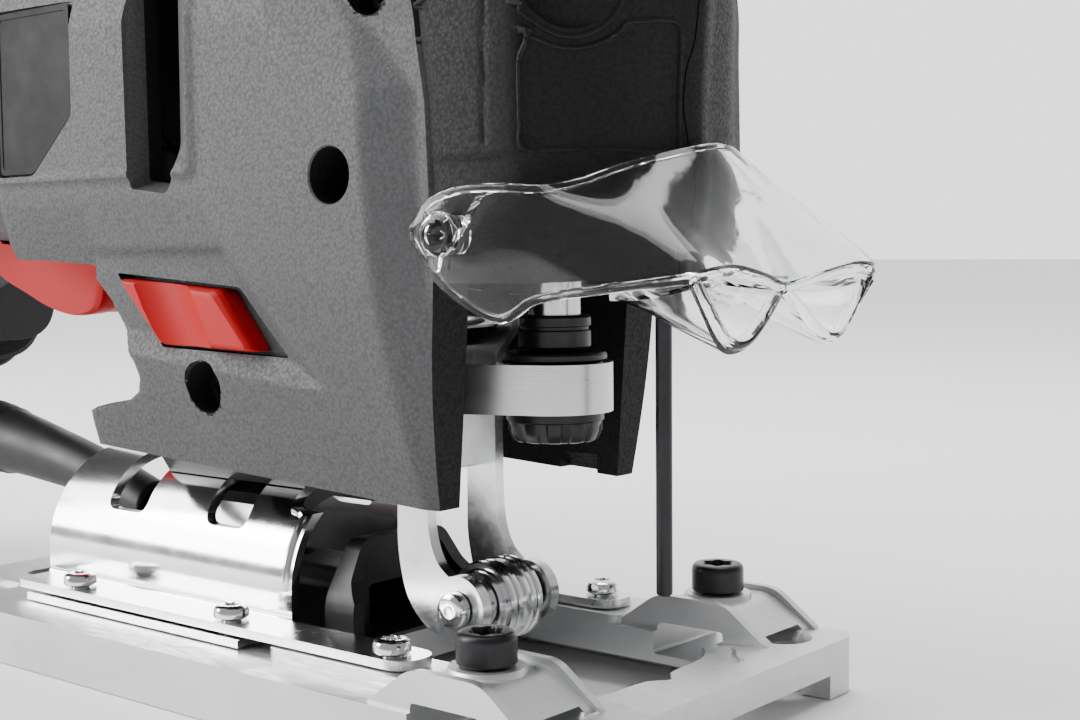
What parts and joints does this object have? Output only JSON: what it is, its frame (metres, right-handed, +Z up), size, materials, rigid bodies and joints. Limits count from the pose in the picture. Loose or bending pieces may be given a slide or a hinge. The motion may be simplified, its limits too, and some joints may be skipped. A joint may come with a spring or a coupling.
{
  "type": "jigsaw",
  "caption": "Hand-held orbital jigsaw with a barrel grip, slide-on battery, bevelling base, blade clamp, support roller and clear chip cover.",
  "frame": {"origin": "centre of the whole tool's bounding box, on the plane that the sole rests on", "axes": "+X towards the front of the base, +Y to the tool's left, +Z up"},
  "size_m": [0.2766, 0.0754, 0.1558],
  "materials": {
    "base_plate": "satin cast, machined sole",
    "bevel_bracket": "bright plated",
    "dust_channel": "moulded",
    "dust_tube": "moulded",
    "right_housing": "fine grain",
    "left_housing": "fine grain",
    "gear_frame": "die cast",
    "lower_bush": "machined",
    "upper_bush": "machined",
    "bevel_clamp_plate": "plated",
    "bevel_clamp_screw": "black oxide",
    "motor_stator": "laminated",
    "rotor": "ground",
    "cooling_fan": "moulded",
    "front_bearing": "ground",
    "rear_bearing": "ground",
    "pinion": "machined",
    "crank_gear": "machined, greased",
    "switch_module": "moulded",
    "control_board": "lacquered board",
    "plunger": "ground",
    "chuck_collar": "dark",
    "clamp_ring": "moulded",
    "chuck_body": "black oxide",
    "clamp_lever": "brushed band",
    "roller_fork": "plated",
    "roller_axle": "bright",
    "support_roller": "turned, bright",
    "fork_pivot_pin": "bright",
    "guard_rod": "black",
    "chip_cover": "clear moulded",
    "trigger": "moulded red",
    "trigger_pin": "ground",
    "lock_slider": "moulded red",
    "orbit_selector": "moulded red",
    "battery_receiver": "moulded",
    "contact_block": "moulded",
    "battery_case": "fine grain",
    "battery_latch": "moulded red",
    "flange_strip_right": "zinc plated",
    "guide_clamp_screw_right": "black oxide",
    "badge_panel_right": "blank panel",
    "cover_clip_right": "moulded",
    "flange_screw_right_front": "plated screw",
    "flange_screw_right_middle": "plated screw",
    "flange_screw_right_rear": "plated screw",
    "flange_strip_left": "zinc plated",
    "guide_clamp_screw_left": "black oxide",
    "badge_panel_left": "blank panel",
    "cover_clip_left": "moulded",
    "flange_screw_left_front": "plated screw",
    "flange_screw_left_middle": "plated screw",
    "flange_screw_left_rear": "plated screw",
    "housing_screw_1": "black",
    "housing_screw_2": "black",
    "housing_screw_3": "black",
    "housing_screw_4": "black",
    "housing_screw_5": "black",
    "housing_screw_6": "black"
  },
  "bodies": {
    "base": {"base_plate": "base_plate", "bevel_bracket": "bevel_bracket", "dust_channel": "dust_channel", "flange_strip_right": "flange_strip_right", "flange_strip_left": "flange_strip_left", "guide_clamp_screw_right": "guide_clamp_screw_right", "guide_clamp_screw_left": "guide_clamp_screw_left", "flange_screw_right_front": "flange_screw_right_front", "flange_screw_right_middle": "flange_screw_right_middle", "flange_screw_right_rear": "flange_screw_right_rear", "flange_screw_left_front": "flange_screw_left_front", "flange_screw_left_middle": "flange_screw_left_middle", "flange_screw_left_rear": "flange_screw_left_rear"},
    "dust_tube": {"dust_tube": "dust_tube"},
    "body": {"right_housing": "right_housing", "left_housing": "left_housing", "badge_panel_right": "badge_panel_right", "badge_panel_left": "badge_panel_left", "housing_screw_1": "housing_screw_1", "housing_screw_2": "housing_screw_2", "housing_screw_3": "housing_screw_3", "housing_screw_4": "housing_screw_4", "housing_screw_5": "housing_screw_5", "housing_screw_6": "housing_screw_6", "gear_frame": "gear_frame", "lower_bush": "lower_bush", "upper_bush": "upper_bush", "bevel_clamp_plate": "bevel_clamp_plate", "bevel_clamp_screw": "bevel_clamp_screw", "motor_stator": "motor_stator", "front_bearing": "front_bearing", "rear_bearing": "rear_bearing", "switch_module": "switch_module", "control_board": "control_board", "fork_pivot_pin": "fork_pivot_pin", "guard_rod": "guard_rod", "cover_clip_right": "cover_clip_right", "cover_clip_left": "cover_clip_left", "trigger_pin": "trigger_pin", "battery_receiver": "battery_receiver", "contact_block": "contact_block"},
    "rotor": {"rotor": "rotor", "cooling_fan": "cooling_fan", "pinion": "pinion"},
    "crank": {"crank_gear": "crank_gear"},
    "plunger": {"plunger": "plunger", "chuck_collar": "chuck_collar", "clamp_ring": "clamp_ring", "chuck_body": "chuck_body"},
    "clamp_lever": {"clamp_lever": "clamp_lever"},
    "roller_fork": {"roller_fork": "roller_fork", "roller_axle": "roller_axle"},
    "roller": {"support_roller": "support_roller"},
    "cover": {"chip_cover": "chip_cover"},
    "trigger": {"trigger": "trigger"},
    "slider": {"lock_slider": "lock_slider"},
    "selector": {"orbit_selector": "orbit_selector"},
    "battery": {"battery_case": "battery_case"},
    "latch": {"battery_latch": "battery_latch"}
  },
  "joints": [
    {"name": "bevel_tilt", "type": "hinge", "parent": "base", "child": "body", "pos_m": [0.0247, 0, 0.01515], "axis": [1, 0, 0], "range_deg": [-45, 45]},
    {"name": "dust_tube_pull", "type": "slide", "parent": "base", "child": "dust_tube", "axis": [-0.9798, 0, 0.2], "range_m": [0, 0.022]},
    {"name": "plunger_stroke", "type": "slide", "parent": "body", "child": "plunger", "axis": [0, 0, 1], "range_m": [-0.012, 0.004]},
    {"name": "motor_spin", "type": "hinge", "parent": "body", "child": "rotor", "pos_m": [0.0087, 0, 0.10225], "axis": [1, 0, 0], "continuous": true},
    {"name": "gear_spin", "type": "hinge", "parent": "body", "child": "crank", "pos_m": [0.0637, 0, 0.08475], "axis": [1, 0, 0], "continuous": true},
    {"name": "clamp_lever_turn", "type": "hinge", "parent": "plunger", "child": "clamp_lever", "pos_m": [0.0977, 0, 0.04975], "axis": [0, 0, 1], "range_deg": [0, 40], "stiffness_Nm_per_rad": 0.02, "springref_deg": -11.46},
    {"name": "pendulum_swing", "type": "hinge", "parent": "body", "child": "roller_fork", "pos_m": [0.0787, 0, 0.05945], "axis": [0, 1, 0], "range_deg": [-4, 0]},
    {"name": "roller_spin", "type": "hinge", "parent": "roller_fork", "child": "roller", "pos_m": [0.0857, 0, 0.01525], "axis": [0, 1, 0], "continuous": true},
    {"name": "cover_flip", "type": "hinge", "parent": "body", "child": "cover", "pos_m": [0.1032, 0, 0.07225], "axis": [0, 1, 0], "range_deg": [0, 40]},
    {"name": "trigger_pull", "type": "hinge", "parent": "body", "child": "trigger", "pos_m": [-0.0423, 0, 0.07475], "axis": [0, 1, 0], "range_deg": [-7, 0], "stiffness_Nm_per_rad": 0.4, "springref_deg": 5.73},
    {"name": "lock_slide", "type": "slide", "parent": "body", "child": "slider", "axis": [1, 0, 0], "range_m": [0, 0.004]},
    {"name": "selector_turn", "type": "hinge", "parent": "body", "child": "selector", "pos_m": [0.0567, 0.03, 0.05875], "axis": [0, 1, 0], "range_deg": [0, 90]},
    {"name": "battery_slide", "type": "slide", "parent": "body", "child": "battery", "axis": [0, 0, 1], "range_m": [0, 0.06]},
    {"name": "latch_press", "type": "slide", "parent": "battery", "child": "latch", "axis": [1, 0, 0], "range_m": [0, 0.0025], "stiffness_N_per_m": 400, "springref_m": -0.001}
  ],
  "couplings": [
    {"joint": "gear_spin", "follows": "motor_spin", "ratio": -0.21951}
  ]
}
